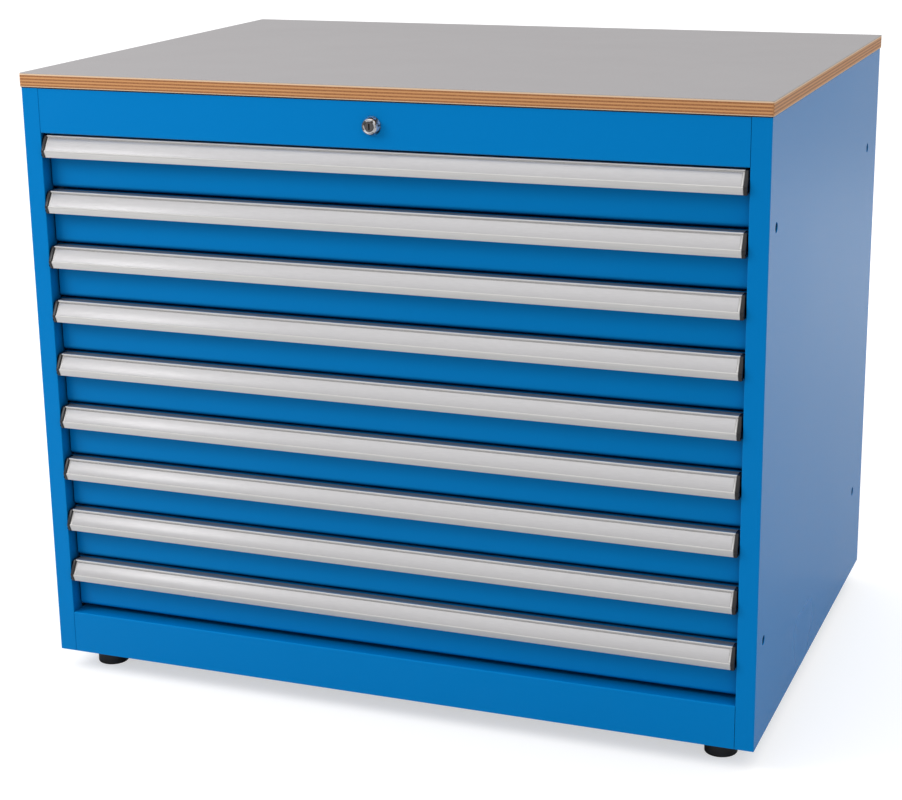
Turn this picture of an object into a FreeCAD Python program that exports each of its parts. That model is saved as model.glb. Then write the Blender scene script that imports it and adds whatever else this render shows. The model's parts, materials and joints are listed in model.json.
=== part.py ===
import FreeCAD, Part
import os
import re
import Sketcher

# Workbench with nine full-width drawers, a laminated plywood worktop, one central lock and four
# levelling feet. Millimetres. While a piece is drawn, x runs across the bench from its middle,
# y runs back from the front face of the cabinet and z runs up from the floor; the whole bench is
# then shifted in y so that the origin lies under the middle of its bounding box.

sizes = {
    # cabinet shell
    "cabinetWidth": 1005,
    "cabinetDepth": 725,
    "cabinetHeight": 800,
    "footHeight": 30,
    "sheetMetal": 1.5,
    "shellGap": 0.1,
    "bendRadius": 2,
    "postWidth": 25,
    "postDepth": 22,
    "seamGap": 0.3,
    "returnDepth": 20,
    "fasciaHeight": 60,
    "fasciaShelfDepth": 40,
    "plinthHeight": 59,
    "plinthShelfDepth": 60,
    # worktop
    "topOverhang": 1.5,
    "boardThickness": 18.2,
    "boardRelief": 1,
    "laminateThickness": 0.8,
    "laminateBevel": 0.5,
    "worktopCorner": 2.5,
    # four round holes in each side panel
    "sideHoleRadius": 6.5,
    "sideHoleFront": 38,
    "sideHolePitchDepth": 613,
    "sideHoleBottom": 137,
    "sideHolePitchHeight": 527,
    # drawers
    "drawerPitch": 75,
    "stackBase": 65,
    "frontRecess": 17.5,
    "frontHalfWidth": 475,
    "frontTopGap": 2.5,
    "frontFold": 15,
    "frontFoldRadius": 6,
    "trayHalfWidth": 456,
    "trayBack": 640,
    "trayLift": 4,
    "trayWallTop": 58,
    "trayMetal": 1.2,
    "slotWidth": 3,
    "slotBottom": 12,
    "slotTop": 50,
    "slotPitch": 25,
    "slotStart": 48,
    # telescopic runners: rail on the tray, middle runner, runner on the cabinet
    "runnerFront": 36,
    "runnerMetal": 1.5,
    "railTip": 472,
    "railBottom": 14.6,
    "railTop": 45.4,
    "middleInner": 463,
    "middleOuter": 476.5,
    "middleBottom": 12.3,
    "middleTop": 47.7,
    "cabinetRunnerInner": 468.5,
    "cabinetRunnerOuter": 481,
    "cabinetRunnerBottom": 10,
    "cabinetRunnerTop": 50,
    "cabinetRunnerBack": 676,
    "uprightDepth": 30,
    "uprightFront": 60,
    "uprightRear": 598,
    "uprightInset": 40,
    # handle profile: y from the cabinet front, drops below the top of the drawer's space
    "handleHalfLength": 471,
    "handleWall": 1.6,
    "lipFront": 4.2,
    "lipRadius": 1.2,
    "lipDrop": 4.9,
    "grooveBottom": 5.9,
    "grooveDepth": 0.7,
    "noseReach": 6,
    "noseDrop": 23,
    "chinReach": 2.5,
    "chinDrop": 32,
    "clipDrop": 24,
    "lipLean": 0.3,
    "grooveStep": 0.2,
    "faceSetback": 0.1,
    "faceThickness": 1.68,
    "faceInnerDrop": 0.48,
    "noseThickness": 1.78,
    "noseInnerDrop": 0.16,
    "capLength": 5,
    "capProud": 0.5,
    "capCorner": 5,
    "capTail": 3,
    # lock, its shaft and the bar that it lifts behind the drawers
    "lockHeight": 769.5,
    "lockReach": 9,
    "bezelRadius": 12.4,
    "bezelTipRadius": 9.8,
    "barrelRadius": 9.5,
    "barrelEnd": 26,
    "plugRadius": 6,
    "plugSetback": 0.6,
    "plugEnd": 30,
    "runningGap": 0.1,
    "keywayWidth": 1.8,
    "keywayHeight": 7.6,
    "keywayDepth": 12,
    "lockNutFlat": 12,
    "lockNutLength": 4.5,
    "shaftRadius": 4,
    "bearingFront": 646,
    "tongueFront": 616,
    "tongueBack": 647,
    "crankFront": 655,
    "crankBack": 660,
    "crankRadius": 11,
    "crankOffset": 5,
    "pinRadius": 2.5,
    "pinEnd": 672,
    "pinPlay": 0.45,
    "barFront": 664,
    "barMetal": 3,
    "barHalfWidth": 15,
    "barBottom": 70,
    "barTop": 812,
    "hookHalfWidth": 8,
    "hookFront": 651,
    "hookMetal": 2,
    "hookBottom": 24,
    "hookTop": 31.5,
    "catchTop": 44,
    "catchBottom": 37,
    "catchBack": 656,
    "guideHalfWidth": 25,
    "guideFront": 660.5,
    "guideBack": 672,
    "guideHeight": 20,
    "guidePlay": 0.4,
    "guideMouth": 10,
    "lowGuide": 140,
    "highGuide": 590,
    # levelling feet
    "footInset": 54,
    "footFront": 52,
    "padRadius": 21.5,
    "padHeight": 17,
    "padBevel": 1.5,
    "studRadius": 6,
    "studTop": 74,
    "hexFlat": 12,
    "footPlateHalf": 25,
    "footPlateMetal": 3,
    "footNutFlat": 9.5,
    "footNutHeight": 10,
    # worktop screws
    "screwSpan": 420,
    "screwFront": 70,
    "screwBack": 690,
    "screwHeadRadius": 6,
    "screwHeadHeight": 3,
    "screwRadius": 3,
    "screwLength": 13,
    # how far a cutting tool starts before the metal and ends behind it
    "cutMargin": 1,
}
drawerCount = 9
sideSlotCount = 24
endSlotCount = 35
smallestCut = 0.1  # mm3: a pocket that removes less than this is a mistake

doc = FreeCAD.newDocument("workbench")
sheet = doc.addObject("Spreadsheet::Sheet", "Sizes")
for row, (alias, value) in enumerate(sizes.items(), start=1):
    sheet.set("A%d" % row, alias)
    sheet.set("B%d" % row, str(value))
    sheet.setAlias("B%d" % row, alias)
doc.recompute()

# Heights and depths that several pieces share, as formulas on the sheet
cabinetTop = "(footHeight + cabinetHeight)"
openingHalf = "(cabinetWidth / 2 - postWidth)"
innerHalf = "(cabinetWidth / 2 - sheetMetal - shellGap)"
shellFront = "(postDepth + seamGap)"
shellBack = "(cabinetDepth - 2 * sheetMetal - shellGap)"
lockAxis = "(footHeight + lockHeight)"
originDepth = "((cabinetDepth + topOverhang - lockReach) / 2)"

nodes = []


def link(formula):
    """Point every size named in a formula at its cell of the sheet."""

    def pointed(word):
        return "Sizes." + word[0] if word[0] in sizes else word[0]

    return re.sub(r"[A-Za-z]+", pointed, str(formula))


def newBody(name, base="0"):
    """Start a body whose own z = 0 is at height base above the floor."""
    body = doc.addObject("PartDesign::Body", name)
    body.Label = name
    body.setExpression("Placement.Base.y", link("-" + originDepth))
    body.setExpression("Placement.Base.z", link(base))
    nodes.append(body)
    return body


def originFeature(body, role):
    return [part for part in body.Origin.OriginFeatures if part.Role == role][0]


def pinPoint(sketch, geometry, pointOnIt, across, up):
    """Hold one point of a sketch at two formulas."""
    for kind, formula in (("DistanceX", across), ("DistanceY", up)):
        index = sketch.addConstraint(Sketcher.Constraint(kind, -1, 1, geometry, pointOnIt, 1.0))
        sketch.setExpression("Constraints[%d]" % index, link(formula))


def newSketch(body, plane, start, loops=(), circles=()):
    """Draw closed outlines and circles on a plane of the body, moved to start along its axis."""
    sketch = body.newObject("Sketcher::SketchObject", body.Name + "Sketch")
    sketch.AttachmentSupport = [(originFeature(body, plane + "_Plane"), "")]
    sketch.MapMode = "FlatFace"
    side = "-" if plane == "XZ" else ""
    sketch.setExpression("AttachmentOffset.Base.z", link("%s(%s)" % (side, start)))
    for corners in loops:
        first = sketch.GeometryCount
        count = len(corners)
        for step in range(count):
            tail = FreeCAD.Vector(step, step * step, 0)
            head = FreeCAD.Vector(step + 1, (step + 1) ** 2, 0)
            sketch.addGeometry(Part.LineSegment(tail, head), False)
        for step, (across, up) in enumerate(corners):
            previous = first + (step - 1) % count
            sketch.addConstraint(Sketcher.Constraint("Coincident", previous, 2, first + step, 1))
            pinPoint(sketch, first + step, 1, across, up)
    for across, up, radius in circles:
        circle = Part.Circle(FreeCAD.Vector(0, 0, 0), FreeCAD.Vector(0, 0, 1), 1)
        geometry = sketch.addGeometry(circle, False)
        pinPoint(sketch, geometry, 3, across, up)
        index = sketch.addConstraint(Sketcher.Constraint("Radius", geometry, 1.0))
        sketch.setExpression("Constraints[%d]" % index, link(radius))
    return sketch


def add(body, plane, start, length, loops=(), circles=()):
    """Pad outlines from start towards the plane's positive axis."""
    sketch = newSketch(body, plane, start, loops, circles)
    pad = body.newObject("PartDesign::Pad", body.Name + "Pad")
    pad.Profile = sketch
    pad.Reversed = plane == "XZ"
    pad.setExpression("Length", link(length))
    return pad


def cut(body, plane, start, length, loops=(), circles=()):
    """Pocket outlines from start towards the plane's positive axis, and see that it removed metal."""
    doc.recompute()
    before = body.Shape.Volume
    sketch = newSketch(body, plane, start, loops, circles)
    pocket = body.newObject("PartDesign::Pocket", body.Name + "Pocket")
    pocket.Profile = sketch
    pocket.Reversed = plane != "XZ"
    pocket.setExpression("Length", link(length))
    doc.recompute()
    if before - body.Shape.Volume < smallestCut:
        raise RuntimeError("a pocket of %s cut nothing" % body.Label)
    return pocket


def roundEdges(body, radius, wanted, kind="Fillet"):
    """Round or bevel every edge for which wanted(box) is true; box is the edge's bounding box."""
    doc.recompute()
    base = body.Tip
    chosen = []
    for index, edge in enumerate(base.Shape.Edges, start=1):
        if wanted(edge.BoundBox):
            chosen.append("Edge%d" % index)
    if not chosen:
        raise RuntimeError("no edge of %s to round" % body.Label)
    feature = body.newObject("PartDesign::" + kind, body.Name + kind)
    feature.Base = (base, chosen)
    feature.setExpression("Radius" if kind == "Fillet" else "Size", link(radius))
    return feature


def near(value, target):
    return abs(value - target) < 0.01


def rectangle(left, bottom, right, top):
    return [(left, bottom), (right, bottom), (right, top), (left, top)]


def mirrored(corners):
    """The same outline on the other side of the bench."""
    return [("-(%s)" % across, up) for across, up in corners]


def channel(inner, outer, bottom, top, metal):
    """Section of a folded channel that opens towards the middle of the bench."""
    return [
        (inner, bottom),
        (outer, bottom),
        (outer, top),
        (inner, top),
        (inner, "%s - %s" % (top, metal)),
        ("%s - %s" % (outer, metal), "%s - %s" % (top, metal)),
        ("%s - %s" % (outer, metal), "%s + %s" % (bottom, metal)),
        (inner, "%s + %s" % (bottom, metal)),
    ]


def hexagon(across, up, flat):
    """A regular hexagon, flat being half its width across flats, with two sides across."""
    corner = "%s * 2 / sqrt(3)" % flat
    half = "%s / sqrt(3)" % flat
    return [
        ("%s + %s" % (across, corner), up),
        ("%s + %s" % (across, half), "%s + %s" % (up, flat)),
        ("%s - %s" % (across, half), "%s + %s" % (up, flat)),
        ("%s - %s" % (across, corner), up),
        ("%s - %s" % (across, half), "%s - %s" % (up, flat)),
        ("%s + %s" % (across, half), "%s - %s" % (up, flat)),
    ]


def footCentres():
    """Corner name and place of each levelling foot."""
    half = "(cabinetWidth / 2 - footInset)"
    for depthName, depth in (("front", "footFront"), ("rear", "(cabinetDepth - footFront)")):
        yield depthName + "_left", "-" + half, depth
        yield depthName + "_right", half, depth


def screwCentres():
    for depth in ("screwFront", "screwBack"):
        for across in ("-screwSpan", "0", "screwSpan"):
            yield across, depth


def drawerBase(number):
    """Height above the floor of the space of a drawer; drawer 1 is the top one."""
    return "footHeight + stackBase + drawerPitch * %d" % (drawerCount - number)


# ---------------------------------------------------------------- cabinet shell


def sidePanel(name, side):
    """One sheet folded round a front post and a narrow back flange."""
    wall = "(cabinetWidth / 2)"
    outline = [
        (wall, "0"),
        (openingHalf, "0"),
        (openingHalf, "postDepth"),
        (openingHalf + " + sheetMetal", "postDepth"),
        (openingHalf + " + sheetMetal", "sheetMetal"),
        (wall + " - sheetMetal", "sheetMetal"),
        (wall + " - sheetMetal", "cabinetDepth - sheetMetal"),
        (openingHalf, "cabinetDepth - sheetMetal"),
        (openingHalf, "cabinetDepth"),
        (wall, "cabinetDepth"),
    ]
    if side < 0:
        outline = mirrored(outline)
    body = newBody(name)
    add(body, "XY", "footHeight", "cabinetHeight", [outline])
    holes = []
    for depth in ("sideHoleFront", "sideHoleFront + sideHolePitchDepth"):
        for height in ("sideHoleBottom", "sideHoleBottom + sideHolePitchHeight"):
            holes.append((depth, "footHeight + " + height, "sideHoleRadius"))
    start = "cabinetWidth / 2 - postWidth / 2" if side > 0 else "-cabinetWidth / 2 - postWidth / 2"
    cut(body, "YZ", start, "postWidth", circles=holes)
    wallPlace = side * sizes["cabinetWidth"] / 2
    postPlace = wallPlace - side * sizes["postWidth"]

    def isFrontCorner(box):
        upright = box.ZLength > sizes["cabinetHeight"] / 2
        atCorner = near(box.XMin, wallPlace) or near(box.XMin, postPlace)
        return upright and atCorner and near(box.YMax, 0)

    def isBackCorner(box):
        upright = box.ZLength > sizes["cabinetHeight"] / 2
        return upright and near(box.XMin, wallPlace) and near(box.YMin, sizes["cabinetDepth"])

    def isPostTop(box):
        level = near(box.ZMin, sizes["footHeight"] + sizes["cabinetHeight"])
        return level and near(box.YMin, 0) and near(box.YMax, 0) and box.XLength > sizes["postWidth"] / 2

    def isBent(box):
        return isFrontCorner(box) or isBackCorner(box) or isPostTop(box)

    roundEdges(body, "bendRadius / 2", isBent)


def backPanel():
    body = newBody("back_panel")
    bottom = "footHeight + sheetMetal + shellGap"
    outline = rectangle("-" + innerHalf, bottom, innerHalf, cabinetTop + " - sheetMetal - shellGap")
    add(body, "XZ", "cabinetDepth - 2 * sheetMetal", "sheetMetal", [outline])


def levelPanel(name, skin, flange, holes):
    """A top or base sheet with a flange along each side wall; skin and flange are (bottom, top)."""
    body = newBody(name)
    outline = rectangle("-" + innerHalf, shellFront, innerHalf, shellBack)
    add(body, "XY", skin[0], "sheetMetal", [outline])
    edge = rectangle(innerHalf + " - sheetMetal", flange[0], innerHalf, flange[1])
    start = shellFront + " + returnDepth"
    length = "%s - %s - 2 * returnDepth" % (shellBack, shellFront)
    add(body, "XZ", start, length, [edge, mirrored(edge)])
    cut(body, "XY", skin[0] + " - sheetMetal", "3 * sheetMetal", circles=holes)


def topPanel():
    skin = (cabinetTop + " - sheetMetal", cabinetTop)
    flange = (cabinetTop + " - returnDepth", cabinetTop)
    holes = [(across, depth, "screwRadius + 2 * runningGap") for across, depth in screwCentres()]
    levelPanel("top_panel", skin, flange, holes)


def basePanel():
    skin = ("footHeight", "footHeight + sheetMetal")
    flange = ("footHeight", "footHeight + returnDepth")
    holes = [(across, depth, "studRadius + sheetMetal") for _, across, depth in footCentres()]
    levelPanel("base_panel", skin, flange, holes)


def frontRail(name, bottom, top, lowerReturn, upperReturn, rounded):
    """A folded rail between the two front posts, its returns running back at bottom and top."""
    outline = [
        ("0", bottom),
        (lowerReturn, bottom),
        (lowerReturn, bottom + " + sheetMetal"),
        ("sheetMetal", bottom + " + sheetMetal"),
        ("sheetMetal", top + " - sheetMetal"),
        (upperReturn, top + " - sheetMetal"),
        (upperReturn, top),
        ("0", top),
    ]
    body = newBody(name)
    half = "(%s - seamGap)" % openingHalf
    add(body, "YZ", "-" + half, "2 * " + half, [outline])

    def isFrontFold(box):
        folded = any(near(box.ZMin, height) for height in rounded)
        return box.XLength > sizes["cabinetWidth"] / 2 and near(box.YMax, 0) and folded

    roundEdges(body, "bendRadius", isFrontFold)
    return body


def topFascia():
    bottom = "(%s - fasciaHeight)" % cabinetTop
    highEdge = sizes["footHeight"] + sizes["cabinetHeight"]
    folds = (highEdge - sizes["fasciaHeight"], highEdge)
    body = frontRail("top_fascia", bottom, cabinetTop, "fasciaShelfDepth", "returnDepth", folds)
    hole = ("0", lockAxis, "barrelRadius + runningGap")
    cut(body, "XZ", "-sheetMetal", "3 * sheetMetal", circles=[hole])


def plinthRail():
    top = "(footHeight + plinthHeight)"
    highEdge = sizes["footHeight"] + sizes["plinthHeight"]
    frontRail("plinth_rail", "footHeight", top, "returnDepth", "plinthShelfDepth", (highEdge,))


# ---------------------------------------------------------------- worktop


def worktopOutline():
    half = "cabinetWidth / 2 + topOverhang"
    return rectangle("-(%s)" % half, "-topOverhang", half, "cabinetDepth + topOverhang")


def isWorktopCorner(box):
    outside = box.XMin > sizes["cabinetWidth"] / 2 or box.XMax < -sizes["cabinetWidth"] / 2
    return outside and box.ZLength > 0.1 and box.XLength < 0.01 and box.YLength < 0.01


def worktopBoard():
    body = newBody("worktop_board", cabinetTop)
    add(body, "XY", "0", "boardThickness", [worktopOutline()])
    pilots = [(across, depth, "screwRadius + runningGap") for across, depth in screwCentres()]
    cut(body, "XY", "-cutMargin", "screwLength + 2 * cutMargin", circles=pilots)

    def isLowerOuterEdge(box):
        return near(box.ZMax, 0) and max(box.XLength, box.YLength) > sizes["cabinetDepth"] / 2

    roundEdges(body, "worktopCorner", isWorktopCorner)
    roundEdges(body, "boardRelief", isLowerOuterEdge, "Chamfer")


def worktopLaminate():
    body = newBody("worktop_laminate", cabinetTop + " + boardThickness")
    add(body, "XY", "0", "laminateThickness", [worktopOutline()])
    roundEdges(body, "worktopCorner", isWorktopCorner)

    def isUpperEdge(box):
        return near(box.ZMin, sizes["laminateThickness"])

    roundEdges(body, "laminateBevel", isUpperEdge, "Chamfer")


def worktopScrews():
    """Pan-head screws that hold the worktop from under the top panel."""
    body = newBody("worktop_screws", cabinetTop + " - sheetMetal")
    heads = [(across, depth, "screwHeadRadius") for across, depth in screwCentres()]
    shanks = [(across, depth, "screwRadius") for across, depth in screwCentres()]
    add(body, "XY", "-screwHeadHeight", "screwHeadHeight", circles=heads)
    add(body, "XY", "0", "sheetMetal + screwLength", circles=shanks)


# ---------------------------------------------------------------- runners fixed in the cabinet


def cabinetRunners():
    """Two channels for each drawer, repeated up the cabinet."""
    body = newBody("cabinet_runners", "footHeight + stackBase")
    section = channel(
        "cabinetRunnerInner", "cabinetRunnerOuter", "cabinetRunnerBottom", "cabinetRunnerTop", "runnerMetal"
    )
    length = "cabinetRunnerBack - runnerFront"
    pair = add(body, "XZ", "runnerFront", length, [section, mirrored(section)])
    doc.recompute()
    rows = body.newObject("PartDesign::LinearPattern", "cabinetRunnerRows")
    rows.Originals = [pair]
    rows.Direction = (originFeature(body, "Z_Axis"), [""])
    rows.setExpression("Length", link("drawerPitch * %d" % (drawerCount - 1)))
    rows.Occurrences = drawerCount
    body.Tip = rows


def runnerUprights():
    """Four channel posts that carry the runners inside the side panels."""
    body = newBody("runner_uprights")
    inner = "cabinetRunnerOuter"
    outer = "(cabinetWidth / 2 - sheetMetal)"
    posts = []
    for front in ("uprightFront", "uprightRear"):
        back = front + " + uprightDepth"
        post = [
            (outer, front),
            (inner, front),
            (inner, back),
            (outer, back),
            (outer, back + " - sheetMetal"),
            (inner + " + sheetMetal", back + " - sheetMetal"),
            (inner + " + sheetMetal", front + " + sheetMetal"),
            (outer, front + " + sheetMetal"),
        ]
        posts += [post, mirrored(post)]
    add(body, "XY", "footHeight + uprightInset", "cabinetHeight - 2 * uprightInset", posts)


# ---------------------------------------------------------------- drawers


def dividerSlots(body, plane, start, first, count):
    """Cut a row of upright slots for dividers through one wall of a tray."""
    slot = rectangle(first + " - slotWidth / 2", "slotBottom", first + " + slotWidth / 2", "slotTop")
    opened = cut(body, plane, start, "3 * trayMetal", [slot])
    before = body.Shape.Volume
    row = body.newObject("PartDesign::LinearPattern", body.Name + "Slots")
    row.Originals = [opened]
    row.Direction = (originFeature(body, "Y_Axis" if plane == "YZ" else "X_Axis"), [""])
    row.setExpression("Length", link("slotPitch * %d" % (count - 1)))
    row.Occurrences = count
    body.Tip = row
    doc.recompute()
    if before - body.Shape.Volume < smallestCut:
        raise RuntimeError("the slot row of %s cut nothing" % body.Label)


def drawerBody(number):
    """Folded front, tray, a rail on each side and a rear catch for the locking bar, all welded."""
    body = newBody("drawer_%d_body" % number, drawerBase(number))
    frontTop = "(drawerPitch - frontTopGap)"
    foldBack = "(frontRecess + frontFold)"
    frontSection = [
        ("frontRecess", "0"),
        (foldBack, "0"),
        (foldBack, "sheetMetal"),
        ("frontRecess + sheetMetal", "sheetMetal"),
        ("frontRecess + sheetMetal", frontTop + " - sheetMetal"),
        (foldBack, frontTop + " - sheetMetal"),
        (foldBack, frontTop),
        ("frontRecess", frontTop),
    ]
    add(body, "YZ", "-frontHalfWidth", "2 * frontHalfWidth", [frontSection])
    recess = sizes["frontRecess"]
    metal = sizes["sheetMetal"]

    def isInnerFold(box):
        return near(box.YMin, recess + metal) and near(box.YMax, recess + metal) and near(box.ZMin, metal)

    def isOuterFold(box):
        return near(box.YMax, recess) and near(box.ZMax, 0)

    roundEdges(body, "frontFoldRadius - sheetMetal", lambda box: isInnerFold(box) and box.XLength > 1)
    roundEdges(body, "frontFoldRadius", lambda box: isOuterFold(box) and box.XLength > 1)

    cheek = rectangle("frontHalfWidth - sheetMetal", "frontFoldRadius", "frontHalfWidth", frontTop)
    add(body, "XZ", "frontRecess + sheetMetal", "frontFold - sheetMetal", [cheek, mirrored(cheek)])
    tray = rectangle("-trayHalfWidth", foldBack + " - trayMetal", "trayHalfWidth", "trayBack")
    add(body, "XY", "trayLift", "trayMetal", [tray])
    wall = rectangle("trayHalfWidth - trayMetal", foldBack + " - trayMetal", "trayHalfWidth", "trayBack")
    add(body, "XY", "trayLift", "trayWallTop - trayLift", [wall, mirrored(wall)])
    back = rectangle("-trayHalfWidth", "trayBack - trayMetal", "trayHalfWidth", "trayBack")
    add(body, "XY", "trayLift", "trayWallTop - trayLift", [back])
    inner = rectangle("-frontHalfWidth", foldBack + " - trayMetal", "frontHalfWidth", foldBack)
    add(body, "XY", "0", frontTop, [inner])

    dividerSlots(body, "YZ", "trayHalfWidth - 2 * trayMetal", "slotStart", sideSlotCount)
    dividerSlots(body, "YZ", "-trayHalfWidth - trayMetal", "slotStart", sideSlotCount)
    firstEndSlot = "slotPitch * %g" % (-(endSlotCount - 1) / 2)
    dividerSlots(body, "XZ", "trayBack - 2 * trayMetal", firstEndSlot, endSlotCount)

    rail = [
        ("railTip", "railBottom"),
        ("trayHalfWidth", "railBottom"),
        ("trayHalfWidth", "railTop"),
        ("railTip", "railTop"),
        ("railTip", "railTop - runnerMetal"),
        ("trayHalfWidth + runnerMetal", "railTop - runnerMetal"),
        ("trayHalfWidth + runnerMetal", "railBottom + runnerMetal"),
        ("railTip", "railBottom + runnerMetal"),
    ]
    add(body, "XZ", "runnerFront", "trayBack - runnerFront", [rail, mirrored(rail)])

    catch = [
        ("trayBack", "catchTop"),
        ("catchBack", "catchTop"),
        ("catchBack", "catchBottom"),
        ("catchBack - sheetMetal", "catchBottom"),
        ("catchBack - sheetMetal", "catchTop - hookMetal"),
        ("trayBack", "catchTop - hookMetal"),
    ]
    add(body, "YZ", "-hookHalfWidth", "2 * hookHalfWidth", [catch])


def handleProfile(number):
    """Extruded grip with a lip, a slanted label channel and an open underside."""
    body = newBody("drawer_%d_handle" % number, drawerBase(number) + " + drawerPitch")
    # the wall's thickness, square to the slope between the nose and the chin
    slope = "sqrt((noseReach - chinReach) ^ 2 + (chinDrop - noseDrop) ^ 2)"
    wallAcross = "handleWall * (chinDrop - noseDrop) / %s" % slope
    wallUp = "handleWall * (noseReach - chinReach) / %s" % slope
    section = [
        ("frontRecess", "-frontTopGap"),
        ("lipFront", "-frontTopGap"),
        ("lipFront - lipLean", "-lipDrop"),
        ("lipFront + grooveDepth - grooveStep", "-lipDrop - grooveStep"),
        ("lipFront + faceSetback", "-grooveBottom"),
        ("-noseReach", "-noseDrop"),
        ("-chinReach", "-chinDrop"),
        ("%s - chinReach" % wallAcross, "%s - chinDrop" % wallUp),
        ("noseThickness - noseReach", "-noseDrop - noseInnerDrop"),
        ("lipFront + faceThickness", "-grooveBottom - faceInnerDrop"),
        ("lipFront + faceThickness", "-frontTopGap - handleWall"),
        ("frontRecess - handleWall", "-frontTopGap - handleWall"),
        ("frontRecess - handleWall", "-clipDrop"),
        ("frontRecess", "-clipDrop"),
    ]
    add(body, "YZ", "-handleHalfLength", "2 * handleHalfLength", [section])

    def isLip(box):
        atFront = near(box.YMax, sizes["lipFront"]) and near(box.ZMin, -sizes["frontTopGap"])
        return box.XLength > 1 and atFront

    roundEdges(body, "lipRadius", isLip)


def handleCaps(number):
    """Moulded caps that close both ends of the handle."""
    body = newBody("drawer_%d_end_caps" % number, drawerBase(number) + " + drawerPitch")
    section = [
        ("frontRecess", "-frontTopGap"),
        ("lipFront", "-frontTopGap"),
        ("-noseReach - capProud", "-noseDrop"),
        ("-chinReach - capProud", "-chinDrop - capProud"),
        ("frontRecess - capCorner", "-chinDrop - capProud"),
        ("frontRecess", "-clipDrop - capTail"),
    ]
    add(body, "YZ", "handleHalfLength", "capLength", [section])
    add(body, "YZ", "-handleHalfLength - capLength", "capLength", [section])


def middleRunners(number):
    """The pair of sliding channels between the tray's rails and the cabinet's runners."""
    body = newBody("drawer_%d_middle_runners" % number, drawerBase(number))
    section = channel("middleInner", "middleOuter", "middleBottom", "middleTop", "runnerMetal")
    add(body, "XZ", "runnerFront", "trayBack - runnerFront", [section, mirrored(section)])


# ---------------------------------------------------------------- lock and locking bar


def lockHousing():
    """Tapered bezel and barrel, turned about the lock's axis, with a bore for the plug."""
    body = newBody("lock_housing", lockAxis)
    outline = [
        ("plugRadius + runningGap", "-lockReach"),
        ("bezelTipRadius", "-lockReach"),
        ("bezelRadius", "-sheetMetal"),
        ("bezelRadius", "0"),
        ("barrelRadius", "0"),
        ("barrelRadius", "barrelEnd"),
        ("plugRadius + runningGap", "barrelEnd"),
    ]
    sketch = newSketch(body, "XY", "0", [outline])
    turned = body.newObject("PartDesign::Revolution", "lockHousingTurned")
    turned.Profile = sketch
    turned.ReferenceAxis = (originFeature(body, "Y_Axis"), [""])
    turned.Angle = 360


def lockNut():
    body = newBody("lock_nut", lockAxis)
    hexNut = hexagon("0", "0", "lockNutFlat")
    add(body, "XZ", "sheetMetal", "lockNutLength", [hexNut])
    bore = ("0", "0", "barrelRadius + runningGap / 2")
    cut(body, "XZ", "sheetMetal", "lockNutLength", circles=[bore])


def lockPlug():
    body = newBody("lock_plug", lockAxis)
    front = "plugSetback - lockReach"
    add(body, "XZ", front, "plugEnd - (%s)" % front, circles=[("0", "0", "plugRadius")])
    keyway = rectangle("-keywayWidth / 2", "-keywayHeight / 2", "keywayWidth / 2", "keywayHeight / 2")
    cut(body, "XZ", front, "keywayDepth", [keyway])


def lockShaft():
    """Rod from the plug to the back, with a crank whose pin works in the locking bar's slot."""
    body = newBody("lock_shaft", lockAxis)
    add(body, "XZ", "plugEnd", "crankFront - plugEnd", circles=[("0", "0", "shaftRadius")])
    add(body, "XZ", "crankFront", "crankBack - crankFront", circles=[("0", "0", "crankRadius")])
    pin = ("-crankOffset", "-crankOffset", "pinRadius")
    add(body, "XZ", "crankBack", "pinEnd - crankBack", circles=[pin])


def lockingBar():
    """Upright bar behind the drawers; the crank pin lifts it by its slot to lock them."""
    body = newBody("locking_bar")
    flat = rectangle("-barHalfWidth", "barBottom", "barHalfWidth", "barTop")
    add(body, "XZ", "barFront", "barMetal", [flat])
    play = "(pinRadius + pinPlay)"
    slot = rectangle(
        "-crankOffset * sqrt(2) - " + play,
        lockAxis + " - crankOffset - " + play,
        "-crankOffset + " + play,
        lockAxis + " - crankOffset + " + play,
    )
    cut(body, "XZ", "barFront - cutMargin", "barMetal + 2 * cutMargin", [slot])


def lockingHooks():
    """Folded hooks welded to the front of the locking bar, one under each drawer's catch."""
    body = newBody("locking_hooks")
    hooks = []
    for number in range(1, drawerCount + 1):
        base = drawerBase(number)
        hooks.append([
            ("barFront", base + " + hookBottom"),
            ("hookFront", base + " + hookBottom"),
            ("hookFront", base + " + hookTop"),
            ("hookFront + sheetMetal", base + " + hookTop"),
            ("hookFront + sheetMetal", base + " + hookBottom + hookMetal"),
            ("barFront", base + " + hookBottom + hookMetal"),
        ])
    add(body, "YZ", "-hookHalfWidth", "2 * hookHalfWidth", hooks)


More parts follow.
